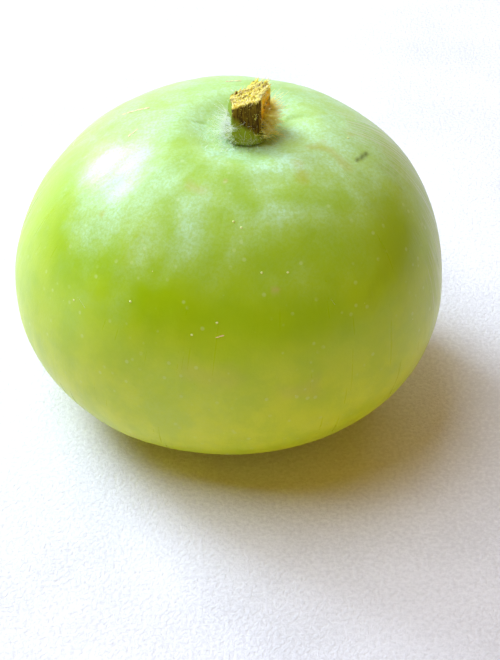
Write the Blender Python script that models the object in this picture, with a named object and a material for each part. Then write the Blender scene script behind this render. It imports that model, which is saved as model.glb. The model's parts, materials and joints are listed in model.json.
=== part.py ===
"""A round green squash with its cut stem, in metres, +Z up.

The fruit is a turned body, widest below its middle and a little oval in plan. Its axis leans, so
the stem stands off centre, and faint lobes run from the crown down to the flat spot that it rests
on. The stem stands on a flat seat in the floor of a shallow hollow. It is five-sided with rounded
ribs, and its top is a slanting break with a torn edge.
"""

import math

import bmesh
import bpy
from mathutils import Vector

# Fruit: the profile, as (distance from the axis, height above the table)
BELLY_RADIUS = 0.0350  # at the widest level
BELLY_HEIGHT = 0.0207  # of the widest level
CROWN_HEIGHT = 0.0506  # of the crown, as if it had no hollow
REST_RADIUS = 0.0090  # of the flat spot
REST_HANDLE = 0.0117  # how far the profile keeps its direction at the flat spot
BELLY_HANDLE = 0.0161  # the same at the belly, downwards
CROWN_HANDLE = 0.0239  # the same at the crown, outwards

# Fruit: departures from a turned shape
CROWN_LEAN = 0.00445  # how far the crown stands to +X of the base
OVAL_DEPTH = 0.0016  # the belly is longer one way than across it
OVAL_DIRECTION = math.radians(145)
CORNER_COUNT = 3  # and faintly three-cornered
CORNER_DEPTH = 0.00015
CORNER_DIRECTION = math.radians(-30)
LOBE_COUNT = 8
LOBE_DEPTH = 0.00014
LOBE_DIRECTION = math.radians(12)

# Fruit: the blossom scar, a dimple in the middle of the flat spot
SCAR_RADIUS = 0.0030
SCAR_DEPTH = 0.0008

# Fruit: the hollow round the stem, and the pleats that run out of it
HOLLOW_RADIUS = 0.0120
HOLLOW_DEPTH = 0.0020
PLEAT_COUNT = 11
PLEAT_DEPTH = 0.00006

# Stem
STEM_FOOT_RADIUS = 0.0035
STEM_NECK_RADIUS = 0.0033
STEM_TOP_RADIUS = 0.0030
STEM_LENGTH = 0.0071  # to the middle of the break
STEM_LEAN = 0.0004  # how far the top stands to +X of the foot
RIB_COUNT = 5
RIB_DEPTH = 0.00028
RIB_DIRECTION = math.radians(-53)  # of one rib's crest
BREAK_RISE = 0.0015  # how far the break climbs from its middle to its high side
BREAK_DIRECTION = 0.0  # the high side
TORN_DEPTH = 0.00035  # unevenness of the break's edge

# Fits
SEAT_MARGIN = 0.0004  # the seat is wider than the stem's foot all round
SEAT_GAP = 0.0003  # between the seat and the foot

# Mesh
FRUIT_SIDES = 72
SCAR_ROWS = 3
LOWER_ROWS = 12
UPPER_ROWS = 24
STEM_SIDES = 40
STEM_ROWS = 10

SKIN_COLOUR = (0.34, 0.46, 0.08, 1.0)
STEM_COLOUR = (0.20, 0.15, 0.04, 1.0)


def clear_scene():
    """Removes every object that is in the scene."""
    for obj in list(bpy.data.objects):
        bpy.data.objects.remove(obj, do_unlink=True)


def fade(distance, reach):
    """1 at no distance and 0 from reach on, level at both ends."""
    share = min(max(distance / reach, 0.0), 1.0)
    return 0.5 + 0.5 * math.cos(math.pi * share)


def bezier(t, start, start_handle, end_handle, end):
    """The point at t, from 0 to 1, of a cubic curve in the plane of the profile."""
    weights = ((1 - t) ** 3, 3 * (1 - t) ** 2 * t, 3 * (1 - t) * t**2, t**3)
    corners = (start, start_handle, end_handle, end)
    return tuple(sum(w * corner[i] for w, corner in zip(weights, corners)) for i in (0, 1))


def seat_radius():
    return STEM_FOOT_RADIUS + SEAT_MARGIN


def lower_point(t):
    """A point of the profile from the flat spot, at 0, to the belly, at 1."""
    return bezier(
        t,
        (REST_RADIUS, 0.0),
        (REST_RADIUS + REST_HANDLE, 0.0),
        (BELLY_RADIUS, BELLY_HEIGHT - BELLY_HANDLE),
        (BELLY_RADIUS, BELLY_HEIGHT),
    )


def upper_belly_handle():
    """The belly's handle upwards, as long as makes the skin bend alike above and below."""
    above = BELLY_RADIUS - seat_radius() - CROWN_HANDLE
    below = BELLY_RADIUS - REST_RADIUS - REST_HANDLE
    return BELLY_HANDLE * math.sqrt(above / below)


def upper_point(t):
    """A point of the profile from the belly, at 0, to the seat's edge, at 1."""
    radius, height = bezier(
        t,
        (BELLY_RADIUS, BELLY_HEIGHT),
        (BELLY_RADIUS, BELLY_HEIGHT + upper_belly_handle()),
        (seat_radius() + CROWN_HANDLE, CROWN_HEIGHT),
        (seat_radius(), CROWN_HEIGHT),
    )
    return radius, height - HOLLOW_DEPTH * hollow_share(radius)


def hollow_share(radius):
    """1 at the seat's edge and 0 from the hollow's rim on."""
    return fade(radius - seat_radius(), HOLLOW_RADIUS - seat_radius())


def fruit_profile():
    """(radius, height) points from the middle of the scar, up the outside, to the seat's edge."""
    points = []
    for row in range(1, SCAR_ROWS + 1):
        radius = SCAR_RADIUS * row / SCAR_ROWS
        points.append((radius, SCAR_DEPTH * fade(radius, SCAR_RADIUS)))
    points += [lower_point(row / LOWER_ROWS) for row in range(LOWER_ROWS)]
    rows = range(UPPER_ROWS + 1)
    points += [upper_point(math.sin(math.pi / 2 * row / UPPER_ROWS)) for row in rows]
    return points


def axis_at(height):
    """How far the axis stands to +X at a height, measured from where it is at the belly."""
    return CROWN_LEAN * ((height / CROWN_HEIGHT) ** 2 - (BELLY_HEIGHT / CROWN_HEIGHT) ** 2)


def seat_centre():
    height = CROWN_HEIGHT - HOLLOW_DEPTH
    return Vector((axis_at(height), 0.0, height))


def wave(angle, count, direction):
    """1 at each of a number of crests, the first in a direction, and -1 halfway between them."""
    return math.cos(count * (angle - direction))


def fruit_point(radius, height, angle):
    """A point of the skin, with the swells of the belly and the pleats of the hollow."""
    out = max(radius - seat_radius(), 0.0) / (BELLY_RADIUS - seat_radius())
    fullness = out * math.sin(min(height / BELLY_HEIGHT, 1.0) * math.pi / 2)
    swell = OVAL_DEPTH * wave(angle, 2, OVAL_DIRECTION)
    swell += CORNER_DEPTH * wave(angle, CORNER_COUNT, CORNER_DIRECTION)
    swell += LOBE_DEPTH * wave(angle, LOBE_COUNT, LOBE_DIRECTION)
    grown = radius + fullness * swell
    pleat = 0.0
    if height > BELLY_HEIGHT:
        wall = math.sin(math.pi * hollow_share(radius))
        pleat = PLEAT_DEPTH * wall * wave(angle, PLEAT_COUNT, 0.0)
    return Vector((
        grown * math.cos(angle) + axis_at(height),
        grown * math.sin(angle),
        height + pleat,
    ))


def add_ring(mesh, points):
    return [mesh.verts.new(point) for point in points]


def bridge_rings(mesh, rings):
    """Quads between each ring and the next."""
    for lower, upper in zip(rings, rings[1:]):
        count = len(lower)
        for i in range(count):
            mesh.faces.new((lower[i], lower[(i + 1) % count], upper[(i + 1) % count], upper[i]))


def cap_ring(mesh, ring, centre):
    """A fan from a centre point to a ring."""
    middle = mesh.verts.new(centre)
    for i, corner in enumerate(ring):
        mesh.faces.new((middle, corner, ring[(i + 1) % len(ring)]))


def angles(count):
    return [2 * math.pi * i / count for i in range(count)]


def finish_object(name, mesh, colour, roughness):
    """Turns a bmesh into a smooth-shaded object with its own material."""
    bmesh.ops.recalc_face_normals(mesh, faces=mesh.faces)
    data = bpy.data.meshes.new(name)
    mesh.to_mesh(data)
    mesh.free()
    data.shade_smooth()
    data.set_sharp_from_angle(angle=math.radians(50))
    material = bpy.data.materials.new(name)
    material.use_nodes = True
    shader = material.node_tree.nodes["Principled BSDF"]
    shader.inputs["Base Color"].default_value = colour
    shader.inputs["Roughness"].default_value = roughness
    shader.inputs["Metallic"].default_value = 0.0
    data.materials.append(material)
    obj = bpy.data.objects.new(name, data)
    bpy.context.scene.collection.objects.link(obj)
    return obj


def build_fruit():
    """The body: a closed skin from the blossom scar to the seat."""
    mesh = bmesh.new()
    rings = [
        add_ring(mesh, [fruit_point(radius, height, angle) for angle in angles(FRUIT_SIDES)])
        for radius, height in fruit_profile()
    ]
    bridge_rings(mesh, rings)
    cap_ring(mesh, rings[0], (axis_at(0.0), 0.0, SCAR_DEPTH))
    cap_ring(mesh, rings[-1], seat_centre())
    return finish_object("fruit", mesh, SKIN_COLOUR, 0.42)


def stem_radius(share):
    """Radius along the stem, from the flared foot to the top."""
    flare = (STEM_FOOT_RADIUS - STEM_NECK_RADIUS) * fade(share, 0.3)
    return STEM_NECK_RADIUS + flare + (STEM_TOP_RADIUS - STEM_NECK_RADIUS) * share


def break_rise(angle, inset):
    """How far the break stands above its middle, at the torn edge or further in."""
    slope = BREAK_RISE * math.cos(angle - BREAK_DIRECTION)
    torn = TORN_DEPTH * (math.sin(7 * angle + 0.8) + 0.6 * math.sin(11 * angle))
    return slope * inset + torn * inset**4


def stem_point(share, angle, inset=1.0):
    """A point of the stem's side, or of its broken top where inset is under 1."""
    rib = RIB_DEPTH * wave(angle, RIB_COUNT, RIB_DIRECTION) * min(share * 3, 1.0)
    radius = (stem_radius(share) + rib) * inset
    return seat_centre() + Vector((
        radius * math.cos(angle) + STEM_LEAN * share,
        radius * math.sin(angle),
        SEAT_GAP + share * (STEM_LENGTH + break_rise(angle, inset)),
    ))


def build_stem():
    """The stem, from the flat foot to the slanting break."""
    mesh = bmesh.new()
    rings = [
        add_ring(mesh, [stem_point(row / STEM_ROWS, angle) for angle in angles(STEM_SIDES)])
        for row in range(STEM_ROWS + 1)
    ]
    for inset in (0.75, 0.4):
        rings.append(add_ring(mesh, [stem_point(1.0, angle, inset) for angle in angles(STEM_SIDES)]))
    bridge_rings(mesh, rings)
    cap_ring(mesh, rings[0], stem_point(0.0, 0.0, 0.0))
    cap_ring(mesh, rings[-1], stem_point(1.0, 0.0, 0.0))
    return finish_object("stem", mesh, STEM_COLOUR, 0.80)


def centre_on_origin(objects):
    """Moves the meshes sideways, so that the middle of their common box is on the Z axis."""
    points = [vertex.co for obj in objects for vertex in obj.data.vertices]
    middle_x = (min(p.x for p in points) + max(p.x for p in points)) / 2
    middle_y = (min(p.y for p in points) + max(p.y for p in points)) / 2
    for obj in objects:
        for vertex in obj.data.vertices:
            vertex.co -= Vector((middle_x, middle_y, 0.0))


def main():
    clear_scene()
    centre_on_origin([build_fruit(), build_stem()])


main()
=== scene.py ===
"""Looks of a young round green squash that stands on its small flat spot, stem up.

The frame holds two plain solids, the fruit and its stem. Here a fine skin and a torn, hairy stem are
modelled over them, with the small marks that such a fruit has. Lengths are in metres. Places on the
fruit are given as on a globe: an azimuth about the vertical, 0 at +X and -90 at the front, and an
elevation, both seen from the fruit's middle.
"""

import json
import logging
import math
import random
from collections.abc import Iterator, Sequence
from contextlib import contextmanager
from dataclasses import dataclass, field
from enum import Enum

import bmesh
import bpy
import numpy as np
from mathutils import Matrix, Vector, noise
from mathutils.bvhtree import BVHTree

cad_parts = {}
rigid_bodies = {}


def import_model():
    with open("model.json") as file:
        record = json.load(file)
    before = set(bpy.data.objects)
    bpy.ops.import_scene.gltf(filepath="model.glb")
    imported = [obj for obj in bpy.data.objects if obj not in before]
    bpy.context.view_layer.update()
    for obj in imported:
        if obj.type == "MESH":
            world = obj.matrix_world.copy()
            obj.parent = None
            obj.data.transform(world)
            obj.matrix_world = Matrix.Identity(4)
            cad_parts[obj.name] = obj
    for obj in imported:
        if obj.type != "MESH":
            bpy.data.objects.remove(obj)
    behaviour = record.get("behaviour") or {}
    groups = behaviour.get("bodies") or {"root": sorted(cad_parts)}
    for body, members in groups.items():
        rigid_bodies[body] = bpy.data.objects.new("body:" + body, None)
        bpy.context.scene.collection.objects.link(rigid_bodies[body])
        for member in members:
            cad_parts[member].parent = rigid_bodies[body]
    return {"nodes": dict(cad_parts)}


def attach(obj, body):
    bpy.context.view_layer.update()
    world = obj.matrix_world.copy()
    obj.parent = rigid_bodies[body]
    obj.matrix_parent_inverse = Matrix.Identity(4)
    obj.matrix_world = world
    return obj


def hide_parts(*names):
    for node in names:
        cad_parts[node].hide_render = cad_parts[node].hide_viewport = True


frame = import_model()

Colour = tuple[float, float, float, float]
Socket = bpy.types.NodeSocket
Value = Socket | float | Sequence[float]

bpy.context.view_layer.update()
BODY = "root"
MM = 0.001
GOLDEN_ANGLE = math.pi * (3 - math.sqrt(5))
UP = Vector((0.0, 0.0, 1.0))
FACING = 0.9  # how closely a face has to point in a direction to be picked

log = logging.getLogger("squash")


class Slot(Enum):
    """The record's material slots."""

    SKIN = "skin"
    STEM = "stem"


# ---- Bench: calls that every piece shares ----


def deselect_all() -> None:
    """Deselects every object, because an operator acts on all that is selected."""
    for obj in bpy.context.view_layer.objects:
        obj.select_set(False)


def make_active(obj: bpy.types.Object) -> None:
    """Selects one object alone and makes it the one that operators act on."""
    deselect_all()
    obj.select_set(True)
    bpy.context.view_layer.objects.active = obj


@contextmanager
def editing(obj: bpy.types.Object) -> Iterator[None]:
    """Holds an object in edit mode, with nothing in it selected at the start.

    Args:
        obj: The mesh object to edit.
    """
    make_active(obj)
    bpy.ops.object.mode_set(mode="EDIT")
    bpy.ops.mesh.select_mode(type="FACE")
    bpy.ops.mesh.select_all(action="DESELECT")
    yield
    bpy.ops.object.mode_set(mode="OBJECT")


def select_facing(obj: bpy.types.Object, direction: Vector) -> None:
    """Selects the faces, in edit mode, whose normals point in a direction.

    Args:
        obj: The object that is in edit mode.
        direction: The unit direction.
    """
    mesh = bmesh.from_edit_mesh(obj.data)
    for face in mesh.faces:
        face.select = face.normal.dot(direction) > FACING
    mesh.select_flush_mode()
    bmesh.update_edit_mesh(obj.data)


def refine(obj: bpy.types.Object, levels: int) -> None:
    """Subdivides an object smoothly.

    Args:
        obj: The object to refine.
        levels: How many times, the same in the view and the render.
    """
    make_active(obj)
    modifier = obj.modifiers.new("subdivision", "SUBSURF")
    modifier.levels = levels
    modifier.render_levels = levels
    bpy.ops.object.modifier_apply(modifier=modifier.name)


def add_object(name: str, data: bpy.types.ID) -> bpy.types.Object:
    """Puts a new object into the scene.

    Args:
        name: Its name.
        data: Its mesh, lamp or camera.

    Returns:
        The object, at the origin.
    """
    obj = bpy.data.objects.new(name, data)
    bpy.context.scene.collection.objects.link(obj)
    return obj


def add_cylinder(sides: int, radius: float, depth: float, centre: Sequence[float]) -> bpy.types.Object:
    """Adds an upright cylinder that has its place in its mesh.

    Args:
        sides: How many sides it has.
        radius: Its radius.
        depth: Its height.
        centre: Its middle.

    Returns:
        The cylinder.
    """
    deselect_all()
    bpy.ops.mesh.primitive_cylinder_add(vertices=sides, radius=radius, depth=depth, location=centre)
    bpy.ops.object.transform_apply(location=True, rotation=False, scale=False)
    return bpy.context.object


def read_points(obj: bpy.types.Object) -> np.ndarray:
    """The places of an object's vertices, one row each."""
    flat = np.empty(len(obj.data.vertices) * 3)
    obj.data.vertices.foreach_get("co", flat)
    return flat.reshape(-1, 3)


def read_normals(obj: bpy.types.Object) -> np.ndarray:
    """The normals of an object's vertices, one row each."""
    flat = np.empty(len(obj.data.vertices) * 3)
    obj.data.vertices.foreach_get("normal", flat)
    return flat.reshape(-1, 3)


def write_points(obj: bpy.types.Object, points: np.ndarray) -> None:
    """Moves an object's vertices to new places."""
    obj.data.vertices.foreach_set("co", points.astype(np.float32).ravel())
    obj.data.update()


def store_number(obj: bpy.types.Object, name: str, values: np.ndarray) -> None:
    """Keeps one number for each vertex, for a finish to read."""
    attribute = obj.data.attributes.new(name, "FLOAT", "POINT")
    attribute.data.foreach_set("value", values.astype(np.float32))


def store_vector(obj: bpy.types.Object, name: str, values: np.ndarray) -> None:
    """Keeps one vector for each vertex, for a finish to read."""
    attribute = obj.data.attributes.new(name, "FLOAT_VECTOR", "POINT")
    attribute.data.foreach_set("vector", values.astype(np.float32).ravel())


def fade(distance: np.ndarray, reach: float) -> np.ndarray:
    """1 at no distance and 0 from reach on, level at both ends."""
    share = np.clip(distance / reach, 0.0, 1.0)
    return 0.5 + 0.5 * np.cos(np.pi * share)


def cloud(points: np.ndarray, size: float, octaves: int = 2, shift: float = 0.0) -> np.ndarray:
    """Smooth noise at points, from about -1 to 1.

    Args:
        points: Places, one row each.
        size: How large one hill or hollow of the noise is.
        octaves: How many finer layers it has.
        shift: Moves the pattern, so that two layers differ.

    Returns:
        One number for each point.
    """
    moved = points / size + shift
    return np.array([noise.fractal(Vector(p), 1.0, 2.0, octaves) for p in moved])


def scatter(rng: random.Random, size: float) -> Vector:
    """A chance offset of up to a size either way along each axis."""
    return Vector([rng.uniform(-size, size) for _ in range(3)])


def globe_direction(azimuth: float, elevation: float) -> Vector:
    """The unit direction at an azimuth and an elevation, in degrees."""
    around, up = math.radians(azimuth), math.radians(elevation)
    return Vector((
        math.cos(up) * math.cos(around),
        math.cos(up) * math.sin(around),
        math.sin(up),
    ))


def finish_piece(
    piece: bpy.types.Object,
    material: bpy.types.Material,
    smooth_angle: float | None = None,
) -> None:
    """Shades a piece, gives it its material, and makes it ride with the fruit.

    Args:
        piece: The finished mesh.
        material: Its material.
        smooth_angle: Edges sharper than this stay sharp; none means smooth all over.
    """
    make_active(piece)
    if smooth_angle is None:
        bpy.ops.object.shade_smooth()
    else:
        bpy.ops.object.shade_smooth_by_angle(angle=smooth_angle)
    piece.data.materials.clear()
    piece.data.materials.append(material)
    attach(piece, BODY)
    log.info("%s: %d faces", piece.name, len(piece.data.polygons))


# ---- Finishes ----


class Graph:
    """A material's nodes, with short calls for the ones that the finishes share."""

    def __init__(self, name: str) -> None:
        """Makes a material with a Principled shader and its object coordinates."""
        self.material = bpy.data.materials.new(name)
        self.material.use_nodes = True
        self.tree = self.material.node_tree
        self.shader = self.tree.nodes["Principled BSDF"]
        self.place: Socket = self.tree.nodes.new("ShaderNodeTexCoord").outputs["Object"]

    def feed(self, socket: Socket, value: Value) -> None:
        """Links a socket to another, or sets its value."""
        if isinstance(value, Socket):
            self.tree.links.new(value, socket)
        else:
            socket.default_value = value

    def set_shader(self, **values: Value) -> None:
        """Sets the shader's inputs, named with underscores for spaces."""
        for key, value in values.items():
            self.feed(self.shader.inputs[key.replace("_", " ")], value)

    def attribute(self, name: str, output: str = "Fac") -> Socket:
        """What a piece keeps at each vertex under a name."""
        node = self.tree.nodes.new("ShaderNodeAttribute")
        node.attribute_name = name
        return node.outputs[output]

    def calc(self, operation: str, first: Value, second: Value = 0.0, third: Value = 0.0) -> Socket:
        """One step of arithmetic."""
        node = self.tree.nodes.new("ShaderNodeMath")
        node.operation = operation
        for socket, value in zip(node.inputs, (first, second, third)):
            self.feed(socket, value)
        return node.outputs[0]

    def stretch(self, vector: Socket, scale: Sequence[float]) -> Socket:
        """A place or vector with each of its parts scaled."""
        node = self.tree.nodes.new("ShaderNodeMapping")
        node.inputs["Scale"].default_value = scale
        self.feed(node.inputs["Vector"], vector)
        return node.outputs[0]

    def noise(self, vector: Socket, scale: float, detail: float = 2.0, rough: float = 0.5) -> Socket:
        """Smooth noise from 0 to 1, with its hills 1 / scale wide."""
        node = self.tree.nodes.new("ShaderNodeTexNoise")
        self.feed(node.inputs["Vector"], vector)
        node.inputs["Scale"].default_value = scale
        node.inputs["Detail"].default_value = detail
        node.inputs["Roughness"].default_value = rough
        return node.outputs["Fac"]

    def specks(self, vector: Socket, scale: float) -> Socket:
        """The distance to the nearest of many scattered points, in cells 1 / scale wide."""
        node = self.tree.nodes.new("ShaderNodeTexVoronoi")
        self.feed(node.inputs["Vector"], vector)
        node.inputs["Scale"].default_value = scale
        return node.outputs["Distance"]

    def span(
        self, value: Value, low: float, high: float, to_low: float = 0.0, to_high: float = 1.0
    ) -> Socket:
        """A value moved smoothly from one range to another and kept in it."""
        node = self.tree.nodes.new("ShaderNodeMapRange")
        node.interpolation_type = "SMOOTHSTEP"
        for socket, number in zip(node.inputs, (value, low, high, to_low, to_high)):
            self.feed(socket, number)
        return node.outputs[0]

    def mix(self, share: Value, first: Value, second: Value) -> Socket:
        """A colour between two others."""
        node = self.tree.nodes.new("ShaderNodeMix")
        node.data_type = "RGBA"
        self.feed(node.inputs["Factor"], share)
        colours = [socket for socket in node.inputs if socket.type == "RGBA"]
        self.feed(colours[0], first)
        self.feed(colours[1], second)
        return next(socket for socket in node.outputs if socket.type == "RGBA")

    def bump(
        self, height: Socket, distance: float, strength: float, normal: Socket | None = None
    ) -> Socket:
        """A normal tilted by a height, given in metres by its distance."""
        node = self.tree.nodes.new("ShaderNodeBump")
        node.inputs["Strength"].default_value = strength
        node.inputs["Distance"].default_value = distance
        self.feed(node.inputs["Height"], height)
        if normal is not None:
            self.feed(node.inputs["Normal"], normal)
        return node.outputs[0]


@dataclass(frozen=True)
class SkinFinish:
    """Waxy skin: green to yellow-green, with a whitish bloom in clouds and fine lengthwise streaks. Painted
    light is part of it: floor bounce in the lighter underside, sheen in the bloom at the crown and upper
    left, shade in the front's deep green belt, and reflection in the pale streaks.
    """

    deep_green: Colour = (0.26, 0.46, 0.001, 1.0)
    green: Colour = (0.375, 0.555, 0.003, 1.0)
    # Yellow-green of the underside, made lighter to stand in for painted floor bounce
    yellow_green_and_bounce: Colour = (0.64, 0.71, 0.012, 1.0)
    ochre: Colour = (0.43, 0.45, 0.030, 1.0)
    bloom_and_sheen: Colour = (0.53, 0.80, 0.50, 1.0)
    fleck: Colour = (0.66, 0.80, 0.40, 1.0)
    blush: Colour = (0.55, 0.42, 0.16, 1.0)
    # Dark green of a small scar, also laid thinly as painted shade
    scar: Colour = (0.12, 0.17, 0.012, 1.0)
    # Pale colour of the painted reflection streaks
    line: Colour = (0.70, 0.70, 0.56, 1.0)
    hue_scale: float = 150
    wax_scale: float = 210
    grain_scale: float = 2000
    fleck_scale: float = 480
    streak_scale: float = 26
    thread_scale: float = 75

    def make(self) -> bpy.types.Material:
        """Builds the material.

        Returns:
            The skin's material, which reads the attributes that FruitSkin stores.
        """
        graph = Graph("waxy_skin")
        lines = graph.attribute("meridian", "Vector")
        hue_clouds = graph.noise(graph.place, self.hue_scale, 5, 0.65)
        wax_clouds = graph.noise(graph.place, self.wax_scale, 4, 0.62)
        grain = graph.noise(graph.place, self.grain_scale, 3, 0.7)
        streaks = graph.noise(graph.stretch(lines, (1, 1, 0.10)), self.streak_scale, 3, 0.65)
        threads = graph.noise(graph.stretch(lines, (1, 1, 0.05)), self.thread_scale, 2, 0.6)

        # Yellower and lighter towards the bottom: partly the fruit's own tint, partly painted bounce light
        # from the floor
        body = graph.mix(graph.attribute("lower_yellow_and_bounce"), self.green, self.yellow_green_and_bounce)
        body = graph.mix(graph.span(hue_clouds, 0.36, 0.66, 0.0, 0.34), body, self.deep_green)
        # Deep green where the bloom is rubbed off, and painted shade across the front's middle belt
        rub_and_shade = graph.calc("MULTIPLY", graph.attribute("rubbed_and_shaded"), 0.45)
        body = graph.mix(rub_and_shade, body, self.deep_green)

        # Whitish wax bloom, with painted sheen at the crown and where the window's highlight spreads
        uneven = graph.calc("MULTIPLY_ADD", graph.span(wax_clouds, 0.32, 0.68), 0.60, 0.55)
        wax_and_sheen = graph.calc("MULTIPLY", graph.attribute("bloom_and_sheen"), uneven)
        streaked = graph.calc("MULTIPLY_ADD", graph.span(streaks, 0.30, 0.70), 0.16, 0.90)
        wax_and_sheen = graph.calc("MULTIPLY", wax_and_sheen, streaked)
        grained = graph.calc("MULTIPLY_ADD", graph.span(grain, 0.35, 0.65), 0.60, 0.68)
        wax_and_sheen = graph.calc("MINIMUM", graph.calc("MULTIPLY", wax_and_sheen, grained), 0.96)
        colour = graph.mix(wax_and_sheen, body, self.bloom_and_sheen)
        # Painted reflection: pale lengthwise streaks of glint on the right rim and at the back left
        glint_streaks = graph.calc("MULTIPLY", graph.attribute("glint_streaks"), graph.span(threads, 0.50, 0.66))
        colour = graph.mix(glint_streaks, colour, self.line)
        colour = graph.mix(graph.attribute("ochre"), colour, self.ochre)
        colour = graph.mix(graph.attribute("blush"), colour, self.blush)
        # A small dark scar, and painted shade laid thinly over the front's right
        colour = graph.mix(graph.attribute("dark"), colour, self.scar)

        dots = graph.span(graph.specks(graph.place, self.fleck_scale), 0.10, 0.20, 0.25, 0.0)
        dots = graph.calc("MULTIPLY", dots, graph.span(wax_clouds, 0.4, 0.6))
        colour = graph.mix(dots, colour, self.fleck)

        dull = graph.calc("MULTIPLY_ADD", wax_and_sheen, 0.12, 0.27)
        dull = graph.calc("MULTIPLY_ADD", graph.span(streaks, 0.3, 0.7), 0.10, dull)
        fine = graph.bump(threads, 0.00003, 0.5)
        fine = graph.bump(grain, 0.00006, 0.6, fine)
        graph.set_shader(
            Base_Color=colour,
            Roughness=dull,
            Normal=fine,
            Specular_IOR_Level=0.36,
            Subsurface_Weight=0.12,
            Subsurface_Scale=0.004,
            Subsurface_Radius=(0.8, 1.0, 0.25),
            Coat_Weight=0.05,
            Coat_Roughness=0.22,
        )
        return graph.material


@dataclass(frozen=True)
class StemFinish:
    """Dry stem: green at the foot, olive brown up the ribs, amber with a painted glow of light through it
    on the torn side, straw at the break.
    """

    foot_green: Colour = (0.27, 0.38, 0.030, 1.0)
    olive: Colour = (0.20, 0.14, 0.008, 1.0)
    dark: Colour = (0.045, 0.022, 0.002, 1.0)
    # Dry amber, brightened to a painted glow of light shining through the stem
    amber_and_glow: Colour = (1.0, 0.60, 0.02, 1.0)
    straw: Colour = (0.90, 0.80, 0.12, 1.0)
    pith: Colour = (0.80, 0.52, 0.30, 1.0)
    crevice: Colour = (0.20, 0.09, 0.01, 1.0)
    bristle: Colour = (0.80, 0.86, 0.16, 1.0)
    fibre_scale: float = 2600
    blotch_scale: float = 800
    crumb_scale: float = 3200
    bristle_scale: float = 2300

    def make(self) -> bpy.types.Material:
        """Builds the material.

        Returns:
            The stem's material, which reads the attributes that StemStub stores.
        """
        graph = Graph("dry_stem")
        grain_lines = graph.stretch(graph.place, (1.0, 1.0, 0.12))
        ribs = graph.noise(grain_lines, self.fibre_scale, 3, 0.65)
        blotches = graph.noise(graph.place, self.blotch_scale, 3, 0.6)
        crumbs = graph.noise(graph.place, self.crumb_scale, 3, 0.7)
        height = graph.attribute("height")
        flank = graph.mix(graph.span(ribs, 0.35, 0.65), self.dark, self.olive)
        greening = graph.calc("ADD", height, graph.calc("MULTIPLY_ADD", blotches, 0.3, -0.15))
        greening = graph.calc("ADD", greening, graph.attribute("dry_side"))
        flank = graph.mix(graph.span(greening, 0.02, 0.24), self.foot_green, flank)
        # The torn side: dry amber colour with a painted glow of light through the stem
        amber_and_glow = graph.mix(graph.span(ribs, 0.45, 0.7), self.amber_and_glow, self.straw)
        amber_and_glow = graph.mix(graph.span(blotches, 0.50, 0.62, 0.0, 0.8), amber_and_glow, self.olive)
        dots = graph.span(graph.specks(graph.place, self.bristle_scale), 0.10, 0.22, 0.8, 0.0)
        dots = graph.calc("MULTIPLY", dots, graph.span(blotches, 0.4, 0.6))
        flank = graph.mix(dots, flank, self.bristle)
        flank = graph.mix(graph.attribute("amber_and_glow_side"), flank, amber_and_glow)
        strewn = graph.stretch(graph.place, (0.25, 1.0, 0.5))
        fibres = graph.noise(strewn, self.fibre_scale, 3, 0.65)
        top = graph.mix(graph.span(crumbs, 0.46, 0.66, 0.0, 0.6), self.straw, self.pith)
        top = graph.mix(graph.span(fibres, 0.42, 0.54), self.crevice, top)
        colour = graph.mix(graph.attribute("torn"), flank, top)
        relief = graph.bump(ribs, 0.00015, 0.7)
        relief = graph.bump(crumbs, 0.00008, 0.5, relief)
        graph.set_shader(
            Base_Color=colour,
            Roughness=graph.calc("MULTIPLY_ADD", ribs, 0.25, 0.60),
            Normal=relief,
            Specular_IOR_Level=0.2,
        )
        return graph.material


@dataclass(frozen=True)
class StrandFinish:
    """Hairs and fibres: pale at one end of a tone and coloured at the other, lighter at the tips."""

    name: str
    first: Colour
    second: Colour
    tip: Colour
    roughness: float = 0.6

    def make(self) -> bpy.types.Material:
        """Builds the material.

        Returns:
            A material that reads each strand's "tone" and its "along".
        """
        graph = Graph(self.name)
        patchy = graph.noise(graph.place, 900, 2, 0.5)
        tone = graph.calc("MULTIPLY_ADD", patchy, 0.4, graph.attribute("tone"))
        colour = graph.mix(graph.span(tone, 0.15, 1.15), self.first, self.second)
        colour = graph.mix(graph.span(graph.attribute("along"), 0.3, 1.1, 0.0, 0.7), colour, self.tip)
        graph.set_shader(
            Base_Color=colour,
            Roughness=graph.calc("MULTIPLY_ADD", patchy, 0.2, self.roughness - 0.1),
            Subsurface_Weight=1.0,
            Subsurface_Scale=0.0004,
            Subsurface_Radius=(1.0, 0.9, 0.5),
        )
        return graph.material


@dataclass(frozen=True)
class CorkFinish:
    """Dry corky skin of scratches and of the blossom scar."""

    name: str
    light: Colour
    dark: Colour

    def make(self) -> bpy.types.Material:
        """Builds the material.

        Returns:
            A rough material, mottled from light to dark.
        """
        graph = Graph(self.name)
        mottle = graph.noise(graph.place, 1900, 3, 0.6)
        colour = graph.mix(graph.span(mottle, 0.35, 0.65), self.light, self.dark)
        graph.set_shader(
            Base_Color=colour,
            Roughness=graph.calc("MULTIPLY_ADD", mottle, 0.2, 0.65),
            Normal=graph.bump(mottle, 0.00006, 0.6),
        )
        return graph.material


@dataclass(frozen=True)
class TableFinish:
    """Pale table top with a very fine grain."""

    light: Colour = (0.86, 0.85, 0.83, 1.0)
    grey: Colour = (0.70, 0.69, 0.67, 1.0)

    def make(self) -> bpy.types.Material:
        """Builds the material.

        Returns:
            The table's material.
        """
        graph = Graph("pale_table")
        clouds = graph.noise(graph.place, 30, 3, 0.6)
        grain = graph.noise(graph.place, 1500, 3, 0.7)
        mottle = graph.calc("MULTIPLY_ADD", clouds, 0.4, graph.calc("MULTIPLY", grain, 0.6))
        graph.set_shader(
            Base_Color=graph.mix(graph.span(mottle, 0.35, 0.65), self.light, self.grey),
            Roughness=graph.calc("MULTIPLY_ADD", grain, 0.2, 0.55),
            Normal=graph.bump(grain, 0.0003, 0.8),
        )
        return graph.material


# ---- Surfaces, strands and marks ----


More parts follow.
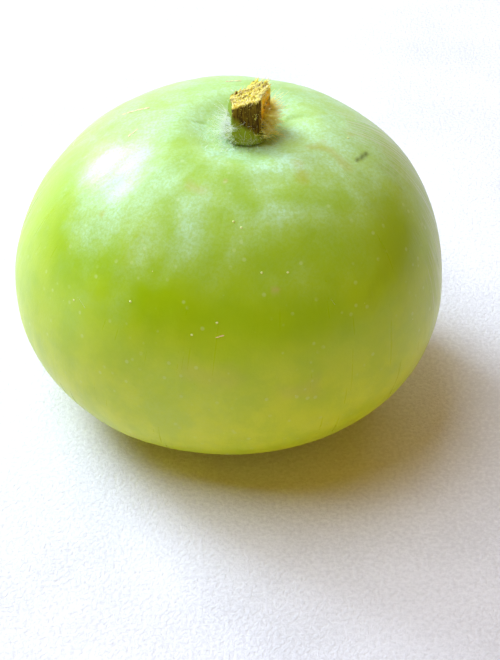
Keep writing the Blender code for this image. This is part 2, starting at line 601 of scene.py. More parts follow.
class Surface:
    """Finds places on a finished mesh."""

    def __init__(self, obj: bpy.types.Object) -> None:
        """Prepares the mesh for lookups."""
        points = [vertex.co for vertex in obj.data.vertices]
        self.tree = BVHTree.FromPolygons(points, [face.vertices for face in obj.data.polygons])

    def hit(self, start: Vector, towards: Vector) -> tuple[Vector, Vector]:
        """Where a ray meets the mesh.

        Args:
            start: The ray's start.
            towards: Its direction.

        Returns:
            The point and the mesh's outward normal there.
        """
        point, normal, _, _ = self.tree.ray_cast(start, towards)
        return point, normal


def grow_top(times: int, step: float, scale: float = 1.0) -> None:
    """Extrudes the selected top upwards again and again, in edit mode.

    Args:
        times: How often.
        step: How far each extrusion rises.
        scale: By how much each one scales the top.
    """
    for _ in range(times):
        bpy.ops.mesh.extrude_region_move(TRANSFORM_OT_translate={"value": (0.0, 0.0, step)})
        bpy.ops.transform.resize(value=(scale, scale, 1.0))


def lay_copies(
    name: str, blocks: Sequence[np.ndarray], faces: Sequence[tuple[int, ...]]
) -> bpy.types.Object:
    """Joins copies of a pattern into one object.

    Args:
        name: The object's name.
        blocks: The points of each copy, one row each.
        faces: The pattern's faces.

    Returns:
        The object.
    """
    data = bpy.data.meshes.new(name)
    size = len(blocks[0])
    firsts = range(0, size * len(blocks), size)
    copied = [tuple(first + corner for corner in face) for first in firsts for face in faces]
    data.from_pydata(np.concatenate(blocks).tolist(), [], copied)
    return add_object(name, data)


@dataclass(frozen=True)
class Strand:
    """One hair or fibre."""

    root: Vector
    direction: Vector
    length: float
    thickness: float
    bend: Vector
    tone: float


@dataclass
class StrandPattern:
    """One tapered strand, modelled once and copied with its own length, bend and place."""

    sides: int = 4
    segments: int = 4
    tip_share: float = 0.15
    points: np.ndarray = field(init=False)
    faces: list[tuple[int, ...]] = field(init=False)

    def __post_init__(self) -> None:
        """Models the strand: one long, one thick, standing on the origin."""
        step = 1.0 / self.segments
        taper = self.tip_share ** (1.0 / self.segments)
        pattern = add_cylinder(self.sides, 0.5, step, (0.0, 0.0, step / 2))
        with editing(pattern):
            select_facing(pattern, UP)
            bpy.ops.transform.resize(value=(taper, taper, 1.0))
            grow_top(self.segments - 1, step, taper)
        self.points = read_points(pattern)
        self.faces = [tuple(face.vertices) for face in pattern.data.polygons]
        bpy.data.objects.remove(pattern)

    def lay(self, name: str, strands: Sequence[Strand]) -> bpy.types.Object:
        """Copies the strand into one object.

        Args:
            name: The object's name.
            strands: Where each copy stands and how it bends.

        Returns:
            The object, with each strand's "tone" and "along" kept at its vertices.
        """
        blocks = []
        for strand in strands:
            ahead = strand.direction.normalized()
            side = ahead.orthogonal().normalized()
            across = ahead.cross(side)
            up = self.points[:, 2:3]
            block = np.array(strand.root) + up * strand.length * np.array(ahead)
            block = block + self.points[:, 0:1] * strand.thickness * np.array(side)
            block = block + self.points[:, 1:2] * strand.thickness * np.array(across)
            blocks.append(block + up**2 * np.array(strand.bend))
        laid = lay_copies(name, blocks, self.faces)
        tones = [strand.tone for strand in strands]
        store_number(laid, "tone", np.repeat(tones, len(self.points)))
        store_number(laid, "along", np.tile(self.points[:, 2], len(strands)))
        return laid


@dataclass(frozen=True)
class Mark:
    """A small raised mark on the skin: a hair's base, or one dash of a scratch."""

    azimuth: float
    elevation: float
    length: float
    width: float
    height: float
    turn: float = 0.0


@dataclass
class MarkPattern:
    """One flat round bead, modelled once and copied half sunk into the skin."""

    points: np.ndarray = field(init=False)
    faces: list[tuple[int, ...]] = field(init=False)

    def __post_init__(self) -> None:
        """Models the bead, one across in every direction."""
        deselect_all()
        bpy.ops.mesh.primitive_uv_sphere_add(segments=10, ring_count=6, radius=0.5)
        pattern = bpy.context.object
        self.points = read_points(pattern)
        self.faces = [tuple(face.vertices) for face in pattern.data.polygons]
        bpy.data.objects.remove(pattern)

    def lay(self, name: str, marks: Sequence[Mark], skin: "FruitSkin") -> bpy.types.Object:
        """Copies the bead into one object.

        Args:
            name: The object's name.
            marks: Where each copy lies.
            skin: The skin that it lies on.

        Returns:
            The object.
        """
        blocks = []
        for mark in marks:
            point, normal = skin.touch(mark.azimuth, mark.elevation)
            east = UP.cross(normal).normalized()
            along = Matrix.Rotation(math.radians(mark.turn), 3, normal) @ east
            across = normal.cross(along)
            sizes = (mark.length, mark.width, 2 * mark.height)
            axes = np.array([along, across, normal]) * np.array(sizes)[:, None]
            blocks.append(np.array(point) + self.points @ axes)
        return lay_copies(name, blocks, self.faces)


# ---- Fruit ----


@dataclass(frozen=True)
class Axis:
    """The fruit's middle line, which leans to +X towards the crown."""

    foot_x: float = -0.00082
    y: float = -0.00014
    lean: float = 0.00445
    crown_height: float = 0.0506

    def middle(self, height: np.ndarray) -> np.ndarray:
        """The middle line's x at heights."""
        return self.foot_x + self.lean * (height / self.crown_height) ** 2

    def around(self, points: np.ndarray) -> tuple[np.ndarray, np.ndarray]:
        """The angle about the middle line, and the distance from it, of points."""
        x = points[:, 0] - self.middle(points[:, 2])
        y = points[:, 1] - self.y
        return np.arctan2(y, x), np.hypot(x, y)


@dataclass(frozen=True)
class Zone:
    """A part of the skin near a line from one place to another, in degrees as on a globe."""

    start: tuple[float, float]
    end: tuple[float, float]
    reach: float
    strength: float = 1.0

    def share(self, directions: np.ndarray, ragged: np.ndarray) -> np.ndarray:
        """How much each point belongs to the zone.

        Args:
            directions: Unit directions from the fruit's middle, one row each.
            ragged: Noise that makes the zone's edge uneven.

        Returns:
            The zone's strength on its line, falling to 0 at its reach.
        """
        first = np.array(globe_direction(*self.start))
        line = np.array(globe_direction(*self.end)) - first
        length = max(float(line @ line), 1e-12)
        along = np.clip((directions - first) @ line / length, 0.0, 1.0)
        nearest = first + along[:, None] * line
        away = np.degrees(np.linalg.norm(directions - nearest, axis=1))
        return self.strength * fade(away * (1 + 0.6 * ragged), self.reach)


def strongest(zones: Sequence[Zone], directions: np.ndarray, ragged: np.ndarray) -> np.ndarray:
    """The highest share that any of some zones has at each point."""
    return np.max([zone.share(directions, ragged) for zone in zones], axis=0)


@dataclass(frozen=True)
class Waves:
    """Low chance hills and hollows of the skin."""

    height: float
    size: float
    shift: float = 0.0

    def rise(self, points: np.ndarray) -> np.ndarray:
        """How far they stand out at points."""
        return self.height * cloud(points, self.size, 2, self.shift)


@dataclass
class FruitSkin:
    """The fruit's skin: a fine mesh over the CAD fruit, with its swells, furrows and dents."""

    axis: Axis = Axis()
    middle: Vector = field(default_factory=lambda: Vector((0.0, 0.0, 0.025)))
    levels: int = 2
    full_height: float = 0.052
    foot_height: float = 0.004
    seat_radius: float = 0.0045
    swell: Waves = Waves(0.16 * MM, 0.020)
    ripple: Waves = Waves(0.06 * MM, 0.008, 7.3)
    flute: Waves = Waves(0.03 * MM, 0.13, 3.1)
    crease: Waves = Waves(0.03 * MM, 0.22, 11.9)
    crease_reach: float = 0.0095
    # Wax bloom, whiter towards the crown; the crown's whiteness is partly painted sheen
    bloom_least: float = 0.02
    crown_bloom_and_sheen: float = 0.55
    bloom_drift: float = 0.08
    bloom_stem: float = 0.30
    bloom_hollow: float = 0.011
    bloom_lost: float = 0.88
    crown_share: float = 0.32
    # Where the underside turns yellow-green; part of its lightness is painted floor bounce
    yellow_share: float = 0.8
    yellow_top: float = 0.28
    yellow_blend: float = 0.40
    dents: tuple[Zone, ...] = (
        Zone((-152, 47), (-152, 47), 9.0, 0.16 * MM),
        Zone((-118, 30), (-118, 30), 12.0, 0.14 * MM),
        Zone((-66, 58), (-66, 58), 9.0, 0.16 * MM),
        Zone((-30, 12), (-30, 12), 14.0, 0.18 * MM),
        Zone((-92, 14), (-92, 14), 13.0, 0.12 * MM),
        Zone((70, 40), (70, 40), 15.0, 0.15 * MM),
        Zone((150, 20), (150, 20), 16.0, 0.15 * MM),
        Zone((173, 64), (148, 81), 1.8, 0.13 * MM),
        Zone((16, 66), (7, 53), 2.2, 0.14 * MM),
    )
    # Deep green zones: the small ones are bloom rubbed off, the two wide ones across the front's middle are
    # painted shade
    rubbed_and_shaded: tuple[Zone, ...] = (
        Zone((-151, 72), (-112, 65), 9.5, 0.75),
        Zone((-86, 62), (-80, 53), 9.5, 0.85),
        Zone((-120, 50), (-111, 40), 8.0, 0.6),
        Zone((-92, 49), (-94, 37), 9.0, 0.75),
        Zone((-63, 52), (-42, 42), 7.5, 0.8),
        Zone((-150, 17), (-132, 28), 9.0, 0.6),
        Zone((-81, 35), (-31, 27), 17.0, 0.9),
        Zone((-113, 21), (-65, 17), 16.0, 0.9),
    )
    yellowed: tuple[Zone, ...] = (
        Zone((-23, 60), (-20, 55), 2.7, 0.55),
        Zone((-20, 55), (-25, 49), 2.6, 0.5),
        Zone((-45, 56), (-48, 54), 2.6, 0.5),
        Zone((-1, 50), (-1, 50), 1.5, 0.5),
        Zone((-36, 25), (-31, 7), 16.0, 0.12),
        Zone((-146, 38), (-146, 38), 1.3, 0.9),
    )
    reddened: tuple[Zone, ...] = (
        Zone((-112, 58), (-104, 57), 3.2, 0.3),
        Zone((-90, 61), (-90, 61), 1.2, 0.5),
        Zone((-41, 59), (-41, 59), 3.0, 0.25),
        Zone((-76, 27), (-75, 27), 1.4, 0.5),
        Zone((-100, 4), (-90, 3), 5.0, 0.16),
        Zone((-75, -1), (-70, -1), 4.0, 0.16),
    )
    # Painted reflection streaks along the meridians, on the right rim and at the back left
    glint_streaks: tuple[Zone, ...] = (
        Zone((8, 46), (-6, 30), 8.0, 0.5),
        Zone((14, 34), (-8, -6), 24.0, 0.75),
        Zone((150, 30), (160, 5), 22.0, 0.35),
    )
    # A small dark scar, and two wide faint zones of painted shade on the front's right
    scar_and_shade: tuple[Zone, ...] = (
        Zone((-18, 47), (-10, 45), 1.1, 1.0),
        Zone((-26, 33), (-33, 24), 14.0, 0.13),
        Zone((-48, 38), (-36, 29), 9.0, 0.06),
    )
    # Whiter patches of wax bloom; the widest, on the upper left, is painted sheen where the window's
    # highlight spreads
    sheen_and_bloom_patches: tuple[Zone, ...] = (
        Zone((-156, 49), (-143, 32), 17.0, 0.42),
        Zone((-117, 33), (-105, 45), 13.0, 0.26),
        Zone((-103, 73), (-99, 68), 7.0, 0.3),
        Zone((-70, 48), (-63, 47), 6.0, 0.3),
        Zone((-64, 63), (-47, 62), 8.0, 0.35),
        Zone((-123, 19), (-123, 25), 9.0, 0.14),
    )

    def build(self) -> None:
        """Copies the CAD fruit, joins its corners, refines it and gives it its relief."""
        self.piece = add_object("squash_skin", frame["nodes"]["fruit"].data.copy())
        make_active(self.piece)
        bpy.ops.mesh.customdata_custom_splitnormals_clear()
        with editing(self.piece):
            bpy.ops.mesh.select_all(action="SELECT")
            bpy.ops.mesh.remove_doubles(threshold=0.01 * MM)
            bpy.ops.mesh.tris_convert_to_quads()
            bpy.ops.mesh.normals_make_consistent(inside=False)
        refine(self.piece, self.levels)
        points = read_points(self.piece)
        write_points(self.piece, points + read_normals(self.piece) * self.relief(points)[:, None])
        self.surface = Surface(self.piece)

    def directions(self, points: np.ndarray) -> np.ndarray:
        """The unit directions from the fruit's middle to points."""
        out = points - np.array(self.middle)
        return out / np.linalg.norm(out, axis=1)[:, None]

    def relief(self, points: np.ndarray) -> np.ndarray:
        """How far the skin stands out from the CAD fruit at points."""
        angle, radius = self.axis.around(points)
        lines = np.column_stack((np.cos(angle), np.sin(angle), points[:, 2] / 0.12))
        standing = self.swell.rise(points) + self.ripple.rise(points) + self.flute.rise(lines)
        upper = points[:, 2] > 0.03
        near_stem = fade(np.maximum(radius - self.seat_radius, 0.0), self.crease_reach) * upper
        standing += near_stem * self.crease.rise(lines)
        directions = self.directions(points)
        ragged = cloud(points, 0.006, 1, 5.5)
        for dent in self.dents:
            standing -= dent.share(directions, ragged)
        return standing * np.clip(points[:, 2] / self.foot_height, 0.0, 1.0)

    def dress(self) -> None:
        """Keeps what the finish reads, and gives the skin its finish."""
        points = read_points(self.piece)
        directions = self.directions(points)
        angle, radius = self.axis.around(points)
        height = points[:, 2] / self.full_height
        store_vector(self.piece, "meridian", np.column_stack((np.cos(angle), np.sin(angle), height)))
        ragged = cloud(points, 0.004, 3, 2.2)
        fields = {
            "rubbed_and_shaded": self.rubbed_and_shaded,
            "ochre": self.yellowed,
            "blush": self.reddened,
            "dark": self.scar_and_shade,
            "glint_streaks": self.glint_streaks,
        }
        for name, zones in fields.items():
            shares = strongest(zones, directions, ragged)
            store_number(self.piece, name, np.clip(shares, 0.0, 1.0))
        drift = cloud(points, 0.018, 2, 9.4)
        # The underside's share: its own yellow tint together with painted floor bounce
        rising = np.clip((height - self.yellow_top + 0.06 * drift) / self.yellow_blend, 0.0, 1.0)
        store_number(self.piece, "lower_yellow_and_bounce", self.yellow_share - self.yellow_share * rising)
        # Whiter towards the crown: wax bloom together with painted sheen
        bloom_and_sheen = self.bloom_least + self.crown_bloom_and_sheen * fade(1.0 - height, self.crown_share)
        bloom_and_sheen += self.bloom_drift * drift
        bloom_and_sheen += self.bloom_stem * fade(radius, self.bloom_hollow) * (height > 0.6)
        bloom_and_sheen += strongest(self.sheen_and_bloom_patches, directions, ragged)
        # Bloom and sheen taken away in the rubbed patches and in the painted shade belt
        bloom_and_sheen *= 1 - self.bloom_lost * strongest(self.rubbed_and_shaded, directions, ragged)
        store_number(self.piece, "bloom_and_sheen", np.clip(bloom_and_sheen, 0.0, 1.0))
        finish_piece(self.piece, SkinFinish().make())
        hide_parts("fruit")

    def touch(self, azimuth: float, elevation: float) -> tuple[Vector, Vector]:
        """The skin's point and normal at an azimuth and an elevation, in degrees."""
        return self.surface.hit(self.middle, globe_direction(azimuth, elevation))

    def below(self, x: float, y: float) -> tuple[Vector, Vector]:
        """The skin's point and normal straight below a place over the crown."""
        return self.surface.hit(Vector((x, y, 0.08)), -UP)


# ---- Stem ----


@dataclass(frozen=True)
class Fringe:
    """Strands of one kind that stand out from one part of the stem's side.

    Its centre and spread are in degrees round the stem, its heights are shares of the stem's length,
    and its lengths and thicknesses are in millimetres.
    """

    count: int
    centre: float
    spread: float
    heights: tuple[float, float]
    lengths: tuple[float, float]
    thicknesses: tuple[float, float]
    lift: float
    curl: float
    tones: tuple[float, float]


@dataclass
class StemStub:
    """The stem: five rounded ribs on a flared green foot, and a slanting break at the top."""

    centre: Vector = field(default_factory=lambda: Vector((0.00329, -0.00014, 0.0489)))
    foot_radius: float = 0.0034
    neck_radius: float = 0.00315
    top_radius: float = 0.0029
    collar: float = 0.22 * MM
    length: float = 0.0071
    lean: float = 0.0004
    rise: float = 0.0015
    rise_direction: float = 0.0
    rib_depth: float = 0.34 * MM
    rib_direction: float = math.radians(-53)
    torn_depth: float = 0.55 * MM
    sides: int = 80
    rows: int = 36
    rings: int = 9
    break_share: float = 0.965
    dry_direction: float = math.radians(-15)
    dry_strength: float = 0.85
    # Where the amber side with its painted glow lies
    amber_direction: float = math.radians(12)
    amber_reach: float = math.radians(64)
    amber_foot: float = 0.32

    def radius(self, share: np.ndarray, angle: np.ndarray) -> np.ndarray:
        """The stem's radius at a share of its height and an angle."""
        flare = (self.foot_radius - self.neck_radius) * fade(share, 0.30)
        collar = self.collar * fade(np.abs(share - 0.045), 0.075)
        plain = self.neck_radius + flare + collar + (self.top_radius - self.neck_radius) * share
        turned = angle - self.rib_direction + 0.25 * share
        ribs = np.cos(5 * turned) + 0.28 * np.cos(10 * turned) + 0.12 * np.cos(15 * turned)
        return plain + self.rib_depth * ribs * np.clip(share * 4, 0.15, 1.0)

    def place(self, share: np.ndarray, angle: np.ndarray, inset: np.ndarray) -> np.ndarray:
        """Points of the stem.

        Args:
            share: How far up each point is, from 0 to 1.
            angle: Its direction about the stem's middle.
            inset: How far out it is, from 0 in the middle to 1 at the side.

        Returns:
            The points, one row each.
        """
        radius = self.radius(share, angle) * inset
        lines = np.column_stack((np.cos(angle), np.sin(angle), share * 0.6))
        furrow = 0.20 * MM * cloud(lines, 0.30, 3, 4.4) * inset * np.clip(share * 6, 0.0, 1.0)
        slope = self.rise * np.cos(angle - self.rise_direction) * inset
        rim = np.column_stack((np.cos(angle), np.sin(angle), inset))
        torn = self.torn_depth * cloud(rim, 0.22, 3, 8.8) * (0.35 + 0.65 * inset**3)
        sunk = 0.5 * MM * (1 - inset**2)
        top = self.length + slope + (torn - sunk) * np.clip(share * 5 - 4, 0.0, 1.0)
        return np.column_stack((
            self.centre.x + (radius + furrow) * np.cos(angle) + self.lean * share,
            self.centre.y + (radius + furrow) * np.sin(angle),
            self.centre.z + share * top,
        ))

    def point(self, share: float, angle: float, inset: float = 1.0) -> Vector:
        """One point of the stem."""
        placed = self.place(np.array([share]), np.array([angle]), np.array([inset]))
        return Vector(placed[0])

    def build(self) -> None:
        """Raises the stem from a short cylinder, insets its top, and shapes both."""
        step = 1.0 / self.rows
        self.piece = add_cylinder(self.sides, 1.0, step, (0.0, 0.0, step / 2))
        self.piece.name = "stem_stub"
        with editing(self.piece):
            select_facing(self.piece, UP)
            grow_top(self.rows - 1, step)
            for _ in range(self.rings):
                bpy.ops.mesh.inset(thickness=1.0 / (self.rings + 1), depth=0.0)
            bpy.ops.mesh.poke()
        plain = read_points(self.piece)
        angle = np.arctan2(plain[:, 1], plain[:, 0])
        inset = np.clip(np.hypot(plain[:, 0], plain[:, 1]), 0.0, 1.0)
        share = np.clip(plain[:, 2], 0.0, 1.0)
        self.parts = (share, angle, inset)
        write_points(self.piece, self.place(share, angle, inset))

    def dress(self) -> None:
        """Keeps what the finish reads, and gives the stem its finish."""
        share, angle, inset = self.parts
        store_number(self.piece, "height", share)
        torn = np.clip((share - self.break_share) / 0.03, 0.0, 1.0)
        store_number(self.piece, "torn", np.maximum(torn, (inset < 0.98) * (share > 0.5)))
        left = 0.5 - 0.5 * np.cos(angle - self.dry_direction)
        store_number(self.piece, "dry_side", -self.dry_strength * left**1.4)
        # The amber side: dry colour with a painted glow of light through the stem
        away = np.abs((angle - self.amber_direction + math.pi) % (2 * math.pi) - math.pi)
        amber_and_glow = np.clip((self.amber_reach - away) / 0.15, 0.0, 1.0)
        amber_and_glow *= np.clip((share - self.amber_foot) / 0.12, 0.0, 1.0)
        store_number(self.piece, "amber_and_glow_side", amber_and_glow)
        finish_piece(self.piece, StemFinish().make(), math.radians(60))
        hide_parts("stem")

    def fringe(self, kind: Fringe, rng: random.Random) -> list[Strand]:
        """Strands that stand out from the stem's side.

        Args:
            kind: Where they stand and what they are like.
            rng: Where the chance comes from.

        Returns:
            The strands.
        """
        strands = []
        for _ in range(kind.count):
            angle = math.radians(rng.gauss(kind.centre, kind.spread))
            root = self.point(rng.uniform(*kind.heights), angle, 0.97)
            out = Vector((math.cos(angle), math.sin(angle), 0.0))
            ahead = out + UP * kind.lift + scatter(rng, 0.5)
            length = rng.uniform(*kind.lengths) * MM
            curl = scatter(rng, 1.0) * kind.curl * length
            thickness = rng.uniform(*kind.thicknesses) * MM
            strands.append(Strand(root, ahead, length, thickness, curl, rng.uniform(*kind.tones)))
        return strands


@dataclass
class TornFibres:
    """Broken fibres on the stem's top and down its torn side."""

    stem: StemStub
    count: int = 420
    seed: int = 11
    lean: Vector = field(default_factory=lambda: Vector((0.60, 0.12, 0.9)))
    lengths: tuple[float, float] = (0.4, 1.0)
    thicknesses: tuple[float, float] = (0.12, 0.30)
    longer_high: float = 0.4
    sunk: float = 0.1 * MM
    sides: tuple[Fringe, ...] = (
        Fringe(90, -20, 22, (0.30, 0.95), (0.3, 0.9), (0.08, 0.16), 1.6, 0.2, (0.0, 0.7)),
        Fringe(900, 15, 30, (0.06, 0.58), (0.8, 2.5), (0.09, 0.15), 0.30, 0.45, (0.0, 0.5)),
        Fringe(50, -60, 50, (0.90, 1.00), (0.3, 0.8), (0.08, 0.15), 2.5, 0.2, (0.2, 1.0)),
    )

    def build(self) -> None:
        """Lays the fibres, with many of them on the break and leaning up its slope."""
        rng = random.Random(self.seed)
        shortest, longest = self.lengths
        strands = []
        for _ in range(self.count):
            angle = rng.uniform(-math.pi, math.pi)
            inset = math.sqrt(rng.uniform(0.0, 0.98))
            root = self.stem.point(1.0, angle, inset) - UP * self.sunk
            rising = math.cos(angle - self.stem.rise_direction) * inset
            ahead = self.lean + scatter(rng, 0.4)
            length = rng.uniform(shortest, longest + self.longer_high * rising) * MM
            bend = scatter(rng, 0.3) * length
            thickness = rng.uniform(*self.thicknesses) * MM
            strands.append(Strand(root, ahead, length, thickness, bend, rng.random()))
        for kind in self.sides:
            strands += self.stem.fringe(kind, rng)
        self.piece = StrandPattern(sides=5, segments=3, tip_share=0.35).lay("torn_fibres", strands)

    def dress(self) -> None:
        """Gives the fibres their straw finish."""
        finish = StrandFinish(
            "torn_fibre", (1.0, 0.80, 0.07, 1.0), (0.90, 0.62, 0.18, 1.0), (1.0, 0.92, 0.42, 1.0)
        )
        finish_piece(self.piece, finish.make())


@dataclass
class StemHairs:
    """Soft hairs on the stem and on the skin close around it."""

    stem: StemStub
    skin: FruitSkin
    seed: int = 23
    skin_count: int = 420
    skin_centre: float = 172
    skin_spread: float = 60
    skin_distances: tuple[float, float] = (0.6, 2.0)
    skin_lengths: tuple[float, float] = (0.4, 1.5)
    skin_thicknesses: tuple[float, float] = (0.05, 0.09)
    sunk: float = 0.05 * MM
    kinds: tuple[Fringe, ...] = (
        Fringe(230, 190, 34, (0.02, 0.60), (0.8, 2.8), (0.06, 0.10), 0.35, 0.35, (0.0, 0.5)),
        Fringe(170, -90, 50, (0.01, 0.14), (0.3, 0.9), (0.07, 0.11), 0.9, 0.25, (0.2, 0.9)),
        Fringe(60, -130, 30, (0.10, 0.60), (0.2, 0.6), (0.08, 0.13), 0.2, 0.25, (0.2, 0.9)),
        Fringe(110, 90, 60, (0.02, 0.60), (0.6, 2.0), (0.05, 0.09), 0.5, 0.35, (0.0, 0.6)),
        Fringe(100, 5, 35, (0.02, 0.45), (0.6, 1.8), (0.05, 0.09), 0.5, 0.35, (0.0, 0.6)),
    )

    def build(self) -> None:
        """Lays the hairs of the stem and those of the skin round its foot."""
        rng = random.Random(self.seed)
        strands = [strand for kind in self.kinds for strand in self.stem.fringe(kind, rng)]
        for _ in range(self.skin_count):
            angle = math.radians(rng.gauss(self.skin_centre, self.skin_spread))
            away = self.stem.foot_radius + abs(rng.gauss(*self.skin_distances)) * MM
            x = self.stem.centre.x + away * math.cos(angle)
            y = self.stem.centre.y + away * math.sin(angle)
            root, normal = self.skin.below(x, y)
            ahead = normal + scatter(rng, 0.8)
            length = rng.uniform(*self.skin_lengths) * MM
            bend = scatter(rng, 0.4) * length
            thickness = rng.uniform(*self.skin_thicknesses) * MM
            root -= normal * self.sunk
            strands.append(Strand(root, ahead, length, thickness, bend, rng.random()))
        self.piece = StrandPattern().lay("stem_hairs", strands)

    def dress(self) -> None:
        """Gives the hairs their pale green finish."""
        finish = StrandFinish(
            "stem_hair", (0.84, 0.92, 0.78, 1.0), (0.58, 0.72, 0.14, 1.0), (0.94, 0.96, 0.86, 1.0)
        )
        finish_piece(self.piece, finish.make())


# ---- Small marks ----


@dataclass
class HairBases:
    """Pale pimples where hairs have fallen off the skin."""

    skin: FruitSkin
    count: int = 30
    seed: int = 5
    clear: tuple[tuple[float, float], ...] = (
        (-87, 47), (-84, 45), (-79, 32), (-71, 31), (-100, 15), (-93, 19), (-120, 20), (-5, 51), (-140, 12),
    )
    clear_sizes: tuple[float, float, float] = (0.42 * MM, 0.36 * MM, 0.14 * MM)
    faint_widths: tuple[float, float] = (0.10, 0.18)
    faint_height: float = 0.25
    lowest: float = -50
    highest: float = 78

    def build(self) -> None:
        """Lays the clear ones and many faint ones, spread evenly over the fruit."""
        rng = random.Random(self.seed)
        marks = [Mark(*place, *self.clear_sizes) for place in self.clear]
        for i in range(self.count):
            elevation = math.degrees(math.asin(1 - 2 * (i + 0.5) / self.count))
            azimuth = math.degrees(GOLDEN_ANGLE * i) + rng.uniform(-25, 25)
            width = rng.uniform(*self.faint_widths) * MM
            if self.lowest < elevation < self.highest:
                marks.append(Mark(azimuth, elevation, width, width, self.faint_height * width))
        self.piece = MarkPattern().lay("hair_bases", marks, self.skin)

    def dress(self) -> None:
        """Gives the pimples their pale finish."""
        finish = CorkFinish("hair_base", (0.80, 0.88, 0.40, 1.0), (0.62, 0.74, 0.22, 1.0))
        finish_piece(self.piece, finish.make())


@dataclass(frozen=True)
class Scratch:
    """A healed scratch between two places, made of overlapping dashes."""

    start: tuple[float, float]
    end: tuple[float, float]
    width: float
    dashes: int


@dataclass
class Scratches:
    """Healed, corky scratches of the skin."""

    skin: FruitSkin
    seed: int = 31
    lines: tuple[Scratch, ...] = (
        Scratch((151, 49), (146, 58), 0.60 * MM, 8),
        Scratch((177, 56), (171, 59), 0.42 * MM, 5),
        Scratch((89, 59), (79, 58), 0.55 * MM, 6),
        Scratch((-93, 15), (-91, 15.5), 0.22 * MM, 3),
        Scratch((40, 30), (46, 36), 0.30 * MM, 6),
        Scratch((120, 5), (131, 9), 0.30 * MM, 7),
    )

    def build(self) -> None:
        """Lays each scratch's dashes along its line, uneven in size."""
        rng = random.Random(self.seed)
        marks = []
        for line in self.lines:
            first, _ = self.skin.touch(*line.start)
            last, normal = self.skin.touch(*line.end)
            east = UP.cross(normal).normalized()
            way = last - first
            turn = math.degrees(math.atan2(way.dot(normal.cross(east)), way.dot(east)))
            step = way.length / line.dashes
            for i in range(line.dashes):
                share = (i + rng.uniform(0.2, 0.8)) / line.dashes
                azimuth = line.start[0] + (line.end[0] - line.start[0]) * share
                elevation = line.start[1] + (line.end[1] - line.start[1]) * share
                marks.append(Mark(
                    azimuth,
                    elevation + rng.uniform(-0.25, 0.25),
                    step * rng.uniform(1.1, 1.9),
                    line.width * rng.uniform(0.5, 1.0),
                    line.width * rng.uniform(0.12, 0.22),
                    turn + rng.uniform(-14, 14),
                ))
        self.piece = MarkPattern().lay("scratches", marks, self.skin)

    def dress(self) -> None:
        """Gives the scratches their corky finish."""
        finish = CorkFinish("cork", (0.84, 0.78, 0.44, 1.0), (0.72, 0.50, 0.26, 1.0))
        finish_piece(self.piece, finish.make())


@dataclass
class SkinHairs:
    """The few loose hairs that are left on the fruit."""

    skin: FruitSkin
    seed: int = 17
    places: tuple[tuple[float, float], ...] = (
        (-31, 45), (-90, -29), (-135, 12), (-60, 20), (20, 35), (95, 20), (160, 30), (-10, 5),
    )
    lengths: tuple[float, float] = (1.2, 2.4)
    thickness: float = 0.05 * MM
    sunk: float = 0.02 * MM
    lift: float = 0.25
    bend: float = 0.12
    tone: float = 0.1

    def build(self) -> None:
        """Lays the hairs flat on the skin, bent off it at the tip."""
        rng = random.Random(self.seed)
        strands = []
        for azimuth, elevation in self.places:
            root, normal = self.skin.touch(azimuth, elevation)
            turn = Matrix.Rotation(rng.uniform(0, math.pi), 3, normal)
            ahead = turn @ UP.cross(normal).normalized() + normal * self.lift
            length = rng.uniform(*self.lengths) * MM
            bend = normal * self.bend * length
            root -= normal * self.sunk
            strands.append(Strand(root, ahead, length, self.thickness, bend, self.tone))
        self.piece = StrandPattern().lay("skin_hairs", strands)

    def dress(self) -> None:
        """Gives the hairs their white finish."""
        finish = StrandFinish(
            "skin_hair", (0.88, 0.90, 0.80, 1.0), (0.78, 0.82, 0.60, 1.0), (0.95, 0.95, 0.90, 1.0)
        )
        finish_piece(self.piece, finish.make())


@dataclass
class BlossomScar:
    """The dry disc in the dimple under the fruit, where the blossom was."""

    centre: tuple[float, float] = (-0.00082, -0.00014)
    radius: float = 0.0017
    top: float = 0.70 * MM
    thickness: float = 0.45 * MM
    sides: int = 40
    rim: float = 0.25 * MM
    rim_drop: float = 0.02 * MM
    rings: int = 4
    ring: float = 0.30 * MM
    ring_drop: float = 0.03 * MM
    rough: float = 0.12 * MM

    def build(self) -> None:
        """Turns a flat cylinder into a rough, sunken disc."""
        middle = self.top - self.thickness / 2
        self.piece = add_cylinder(self.sides, self.radius, self.thickness, (*self.centre, middle))
        self.piece.name = "blossom_scar"
        with editing(self.piece):
            select_facing(self.piece, -UP)
            bpy.ops.mesh.inset(thickness=self.rim, depth=-self.rim_drop)
            for _ in range(self.rings):
                bpy.ops.mesh.inset(thickness=self.ring, depth=-self.ring_drop)
            bpy.ops.mesh.poke()
        points = read_points(self.piece)
        away = np.hypot(points[:, 0] - self.centre[0], points[:, 1] - self.centre[1])
        inner = (points[:, 2] < middle) * (away < 0.95 * self.radius)
        points[:, 2] += self.rough * cloud(points, 0.0007) * inner
        write_points(self.piece, points)

    def dress(self) -> None:
        """Gives the scar its brown finish."""
        finish = CorkFinish("scar_cork", (0.46, 0.34, 0.16, 1.0), (0.17, 0.11, 0.05, 1.0))
        finish_piece(self.piece, finish.make(), math.radians(50))


# ---- Set ----


@dataclass
class Table:
    """The pale table top that the fruit stands on."""

    size: float = 4.0

    def build(self) -> None:
        """Lays the table top at height 0."""
        deselect_all()
        bpy.ops.mesh.primitive_plane_add(size=self.size, location=(0.0, 0.0, 0.0))
        self.piece = bpy.context.object
        self.piece.name = "table_top"

    def dress(self) -> None:
        """Gives the table top its finish, and leaves it out of the object."""
        self.piece.data.materials.append(TableFinish().make())


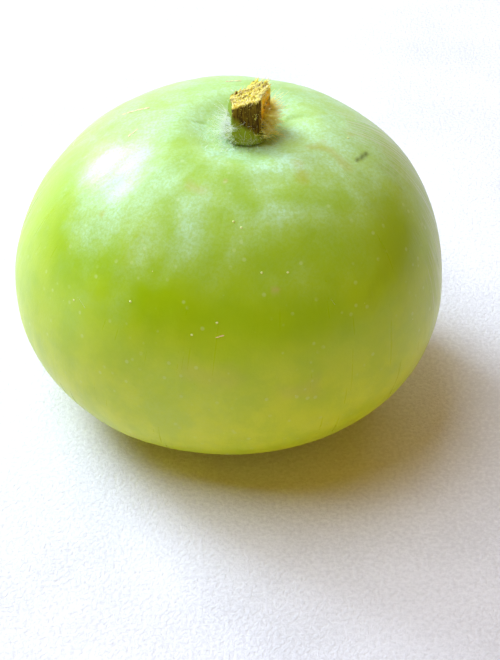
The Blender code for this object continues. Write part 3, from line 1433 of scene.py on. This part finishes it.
@dataclass(frozen=True)
class Softbox:
    """A rectangular lamp that faces the fruit."""

    name: str
    place: tuple[float, float, float]
    size: tuple[float, float]
    power: float
    colour: tuple[float, float, float]
    reflected: bool = True

    def build(self, target: Vector) -> None:
        """Hangs the lamp and turns it to its target.

        Args:
            target: The point that it faces.
        """
        lamp = bpy.data.lights.new(self.name, "AREA")
        lamp.shape = "RECTANGLE"
        lamp.size, lamp.size_y = self.size
        lamp.energy = self.power
        lamp.color = self.colour
        hung = add_object(self.name, lamp)
        hung.location = self.place
        hung.visible_glossy = self.reflected
        hung.rotation_euler = (target - hung.location).to_track_quat("-Z", "Y").to_euler()


@dataclass
class Studio:
    """The light: a window behind on the left, the sky, a far wall, a low warm fill and a dim room."""

    target: Vector = field(default_factory=lambda: Vector((0.0, 0.0, 0.03)))
    lamps: tuple[Softbox, ...] = (
        Softbox("window", (-0.59, 0.57, 0.48), (0.35, 0.35), 11.0, (0.62, 0.76, 1.0)),
        Softbox("skylight", (-0.42, 0.16, 0.94), (0.80, 0.80), 12.5, (0.62, 0.76, 1.0), False),
        Softbox("far_wall", (0.10, 1.00, 0.75), (1.4, 0.6), 4.2, (0.70, 0.82, 1.0)),
        Softbox("front_fill", (0.30, -1.00, 0.16), (1.2, 0.3), 2.4, (1.0, 0.80, 0.30), False),
    )
    room: Colour = (0.72, 0.36, 0.07, 1.0)
    room_strength: float = 0.42
    backdrop: Colour = (0.95, 0.96, 0.97, 1.0)

    def build(self) -> None:
        """Hangs the lamps and sets the room's light, which the camera sees as a white backdrop."""
        for lamp in self.lamps:
            lamp.build(self.target)
        world = bpy.data.worlds.new("room")
        world.use_nodes = True
        bpy.context.scene.world = world
        nodes, links = world.node_tree.nodes, world.node_tree.links
        dim = nodes["Background"]
        dim.inputs["Color"].default_value = self.room
        dim.inputs["Strength"].default_value = self.room_strength
        bright = nodes.new("ShaderNodeBackground")
        bright.inputs["Color"].default_value = self.backdrop
        seen = nodes.new("ShaderNodeLightPath")
        mixed = nodes.new("ShaderNodeMixShader")
        links.new(seen.outputs["Is Camera Ray"], mixed.inputs[0])
        links.new(dim.outputs[0], mixed.inputs[1])
        links.new(bright.outputs[0], mixed.inputs[2])
        links.new(mixed.outputs[0], nodes["World Output"].inputs["Surface"])


@dataclass
class Viewpoint:
    """The camera: above the front, looking down at the fruit through a long lens."""

    elevation: float = math.radians(38)
    distance: float = 0.28
    lens: float = 91.75
    middle: Vector = field(default_factory=lambda: Vector((-0.00007, -0.00014, 0.0253)))
    aim_right: float = 0.00380
    aim_down: float = 0.01308

    def build(self) -> None:
        """Places the camera and makes it the scene's own."""
        data = bpy.data.cameras.new("viewpoint")
        data.lens = self.lens
        data.clip_start = 0.01
        camera = add_object("viewpoint", data)
        back = Vector((0.0, -math.cos(self.elevation), math.sin(self.elevation)))
        up = Vector((0.0, math.sin(self.elevation), math.cos(self.elevation)))
        camera.location = self.middle + back * self.distance
        aim = self.middle + Vector((self.aim_right, 0.0, 0.0)) - up * self.aim_down
        camera.rotation_euler = (aim - camera.location).to_track_quat("-Z", "Y").to_euler()
        bpy.context.scene.camera = camera


def main() -> None:
    """Builds and dresses the fruit, then the set round it."""
    logging.basicConfig(level=logging.INFO, format="%(name)s %(message)s")
    bpy.context.scene.view_settings.view_transform = "Standard"
    skin = FruitSkin()
    stem = StemStub()
    pieces = (
        skin,
        stem,
        TornFibres(stem),
        StemHairs(stem, skin),
        HairBases(skin),
        Scratches(skin),
        SkinHairs(skin),
        BlossomScar(),
        Table(),
    )
    for piece in pieces:
        piece.build()
        piece.dress()
    Studio().build()
    Viewpoint().build()


if __name__ == "__main__":
    main()
